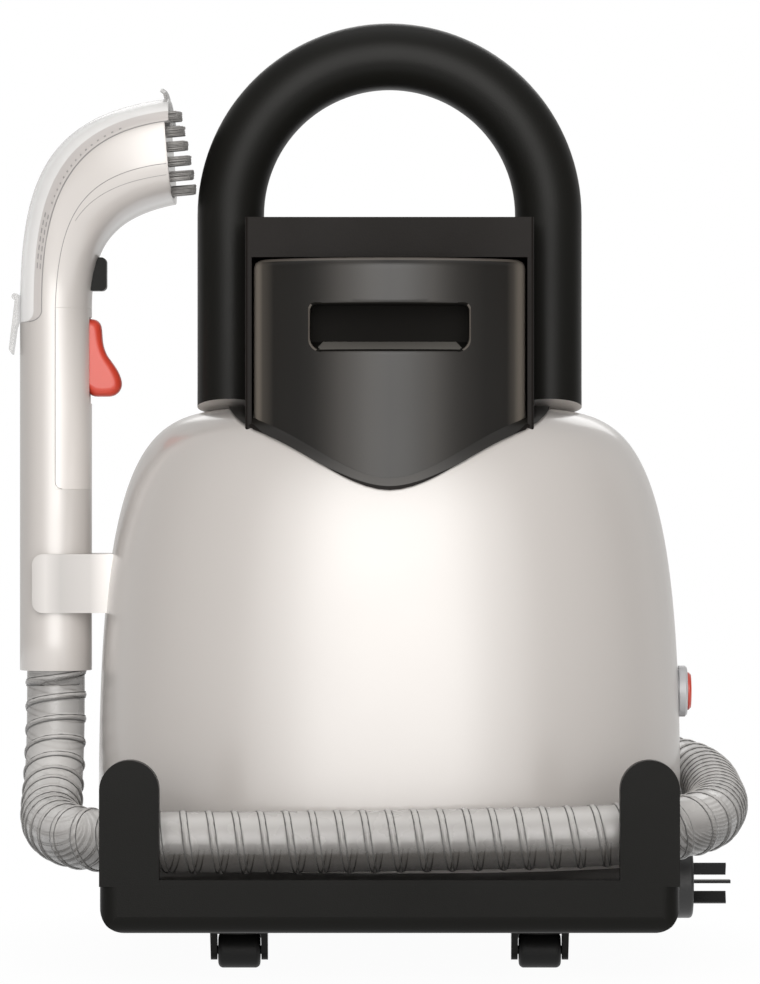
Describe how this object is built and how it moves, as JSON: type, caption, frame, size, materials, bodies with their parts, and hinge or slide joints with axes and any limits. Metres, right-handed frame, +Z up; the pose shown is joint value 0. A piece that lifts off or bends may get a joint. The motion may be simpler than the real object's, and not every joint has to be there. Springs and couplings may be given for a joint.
{
  "type": "carpet cleaner machine",
  "caption": "Spot carpet cleaner with a white body on casters, smoky waste tank under a tubular handle, rear water tank and a hose with a cleaning wand.",
  "frame": {"origin": "centre of the underside of the machine's box, measured without the cords and hose, on the floor", "axes": "+X to the machine's right as seen from the front, +Y to the back, +Z up; the dirty tank faces -Y"},
  "size_m": [0.3556, 0.301, 0.4464],
  "materials": {
    "black_plastic": "satin moulded",
    "body_white": "high gloss",
    "crown_black": "satin moulded",
    "handle_black": "satin moulded",
    "smoky_clear": "smoky transparent",
    "clear_plastic": "transparent",
    "water_tank": "transparent",
    "grey_plastic": "moulded",
    "inner_grey": "moulded",
    "cap_blue": "moulded",
    "float_orange": "moulded",
    "signal_red": "glossy",
    "soft_rubber": "soft",
    "hose_grey": "ribbed translucent",
    "cord_black": "smooth",
    "bristle_grey": "nylon tufts",
    "steel": "plain",
    "motor_metal": "cast",
    "board_green": "plain",
    "blade_dark": "dark plated",
    "tyre_black": "smooth"
  },
  "bodies": {
    "chassis": {"base_tray": "black_plastic", "front_shell": "body_white", "rear_shell": "body_white", "clean_tank_bay": "body_white", "crown_frame": "crown_black", "handle_front_half": "handle_black", "handle_rear_half": "handle_black", "wand_clip": "body_white", "switch_bezel": "grey_plastic", "switch_module": "inner_grey", "fan_motor": "motor_metal", "fan_housing": "inner_grey", "exhaust_grille": "black_plastic", "water_pump": "inner_grey", "water_tubes": "inner_grey", "circuit_board": "board_green", "suction_duct": "inner_grey", "fan_duct": "inner_grey", "hose_elbow": "black_plastic", "cord_hooks": "black_plastic", "cord_grommet": "black_plastic", "housing_screws": "steel", "caster_sockets": "black_plastic", "port_gaskets": "soft_rubber", "suction_hose": "hose_grey", "mains_cord_hank": "cord_black", "mains_cord_lead": "cord_black", "mains_cord_tail": "cord_black", "plug_body": "cord_black", "plug_blades": "blade_dark"},
    "fan_rotor": {"impeller": "inner_grey"},
    "power_switch": {"power_button": "signal_red"},
    "dirty_tank_unit": {"dirty_tank": "smoky_clear", "dirty_tank_lid": "black_plastic", "lid_seal": "soft_rubber", "float_cage": "clear_plastic"},
    "float": {"tank_float": "float_orange"},
    "clean_tank_unit": {"clean_tank": "water_tank", "outlet_valve": "inner_grey"},
    "cap": {"filler_cap": "cap_blue"},
    "wand": {"wand_front_half": "body_white", "wand_rear_half": "body_white", "wand_cuff": "grey_plastic", "grip_insert": "body_white", "bristle_strip": "bristle_grey", "spray_nozzle": "grey_plastic", "trigger_pin": "steel", "spray_valve": "inner_grey"},
    "cover": {"nozzle_cover": "clear_plastic"},
    "latch": {"nozzle_latch": "body_white"},
    "trigger_lever": {"trigger": "signal_red"},
    "wand_push_button": {"wand_button": "black_plastic"},
    "caster_fl": {"caster_fork_fl": "black_plastic"},
    "wheel_fl": {"caster_wheel_fl": "tyre_black"},
    "caster_fr": {"caster_fork_fr": "black_plastic"},
    "wheel_fr": {"caster_wheel_fr": "tyre_black"},
    "caster_rl": {"caster_fork_rl": "black_plastic"},
    "wheel_rl": {"caster_wheel_rl": "tyre_black"},
    "caster_rr": {"caster_fork_rr": "black_plastic"},
    "wheel_rr": {"caster_wheel_rr": "tyre_black"}
  },
  "joints": [
    {"name": "fan_spin", "type": "hinge", "parent": "chassis", "child": "fan_rotor", "pos_m": [-0.0261, -0.027, 0.125], "axis": [0, 0, 1], "continuous": true},
    {"name": "power_button_press", "type": "slide", "parent": "chassis", "child": "power_switch", "axis": [-1, 0, 0], "range_m": [0, 0.002], "stiffness_N_per_m": 900, "springref_m": -0.0005},
    {"name": "caster_swivel_fl", "type": "hinge", "parent": "chassis", "child": "caster_fl", "pos_m": [-0.0511, -0.077, 0.02], "axis": [0, 0, 1], "continuous": true},
    {"name": "wheel_spin_fl", "type": "hinge", "parent": "caster_fl", "child": "wheel_fl", "pos_m": [-0.0511, -0.07, 0.0083], "axis": [1, 0, 0], "continuous": true},
    {"name": "caster_swivel_fr", "type": "hinge", "parent": "chassis", "child": "caster_fr", "pos_m": [0.0889, -0.077, 0.02], "axis": [0, 0, 1], "continuous": true},
    {"name": "wheel_spin_fr", "type": "hinge", "parent": "caster_fr", "child": "wheel_fr", "pos_m": [0.0889, -0.07, 0.0083], "axis": [1, 0, 0], "continuous": true},
    {"name": "caster_swivel_rl", "type": "hinge", "parent": "chassis", "child": "caster_rl", "pos_m": [-0.0511, 0.073, 0.02], "axis": [0, 0, 1], "continuous": true},
    {"name": "wheel_spin_rl", "type": "hinge", "parent": "caster_rl", "child": "wheel_rl", "pos_m": [-0.0511, 0.08, 0.0083], "axis": [1, 0, 0], "continuous": true},
    {"name": "caster_swivel_rr", "type": "hinge", "parent": "chassis", "child": "caster_rr", "pos_m": [0.0889, 0.073, 0.02], "axis": [0, 0, 1], "continuous": true},
    {"name": "wheel_spin_rr", "type": "hinge", "parent": "caster_rr", "child": "wheel_rr", "pos_m": [0.0889, 0.08, 0.0083], "axis": [1, 0, 0], "continuous": true},
    {"name": "dirty_tank_pull", "type": "slide", "parent": "chassis", "child": "dirty_tank_unit", "axis": [0, -1, 0], "range_m": [0, 0.12]},
    {"name": "float_rise", "type": "slide", "parent": "dirty_tank_unit", "child": "float", "axis": [0, 0, 1], "range_m": [0, 0.02]},
    {"name": "clean_tank_pull", "type": "slide", "parent": "chassis", "child": "clean_tank_unit", "axis": [0, 1, 0], "range_m": [0, 0.12]},
    {"name": "filler_cap_turn", "type": "hinge", "parent": "clean_tank_unit", "child": "cap", "pos_m": [0.0189, 0.067, 0.235], "axis": [0, 0, 1], "range_deg": [0, 270]},
    {"name": "wand_lift_out", "type": "slide", "parent": "chassis", "child": "wand", "axis": [-1, 0, 0], "range_m": [0, 0.14]},
    {"name": "nozzle_cover_lift", "type": "slide", "parent": "wand", "child": "cover", "axis": [-0.7071, 0, 0.7071], "range_m": [0, 0.03]},
    {"name": "nozzle_latch_flip", "type": "hinge", "parent": "cover", "child": "latch", "pos_m": [-0.16045, -0.002, 0.3152], "axis": [0, 1, 0], "range_deg": [0, 25], "stiffness_Nm_per_rad": 0.05},
    {"name": "trigger_pull", "type": "hinge", "parent": "wand", "child": "trigger_lever", "pos_m": [-0.1316, -0.002, 0.299], "axis": [0, 1, 0], "range_deg": [0, 12], "stiffness_Nm_per_rad": 0.6, "springref_deg": -5.73},
    {"name": "wand_button_press", "type": "slide", "parent": "wand", "child": "wand_push_button", "axis": [-1, 0, 0], "range_m": [0, 0.003], "stiffness_N_per_m": 600, "springref_m": -0.0005}
  ]
}
